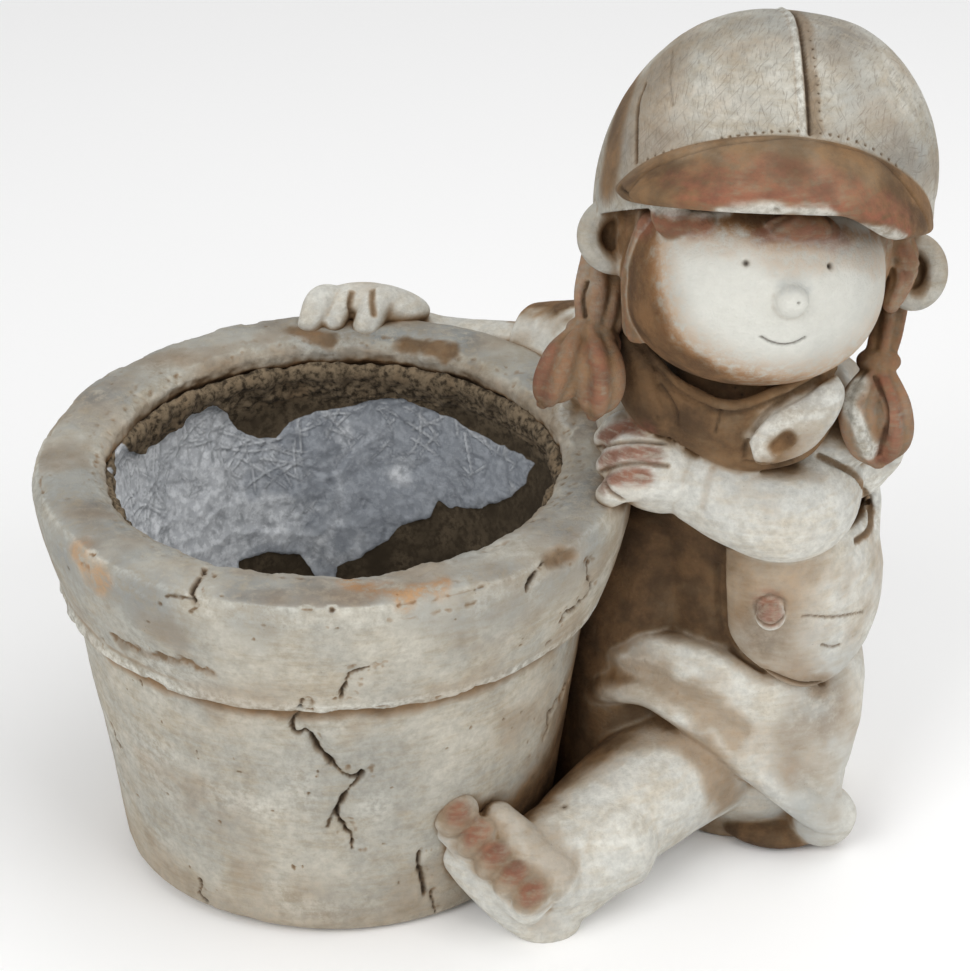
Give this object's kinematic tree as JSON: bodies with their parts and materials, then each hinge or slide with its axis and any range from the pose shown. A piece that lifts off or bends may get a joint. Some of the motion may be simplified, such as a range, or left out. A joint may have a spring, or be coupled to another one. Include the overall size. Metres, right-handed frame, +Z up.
{
  "type": "child with flowerpot statue",
  "caption": "Weathered cast garden statue: a seated child in a peaked cap leans on a round flowerpot, hands on its rim and bare foot at its base; the pot is open for planting.",
  "frame": {"origin": "centre of the pot's underside, on the ground", "axes": "+Z up, +X from the pot's centre towards the seated child, -Y the side the child faces"},
  "size_m": [0.452, 0.3187, 0.4494],
  "materials": {
    "stone": "hollow cast stone-look resin, weathered cream with brown wash in the recesses, cracked and pitted"
  },
  "bodies": {
    "root": {"child_with_flowerpot": "stone"}
  },
  "joints": []
}
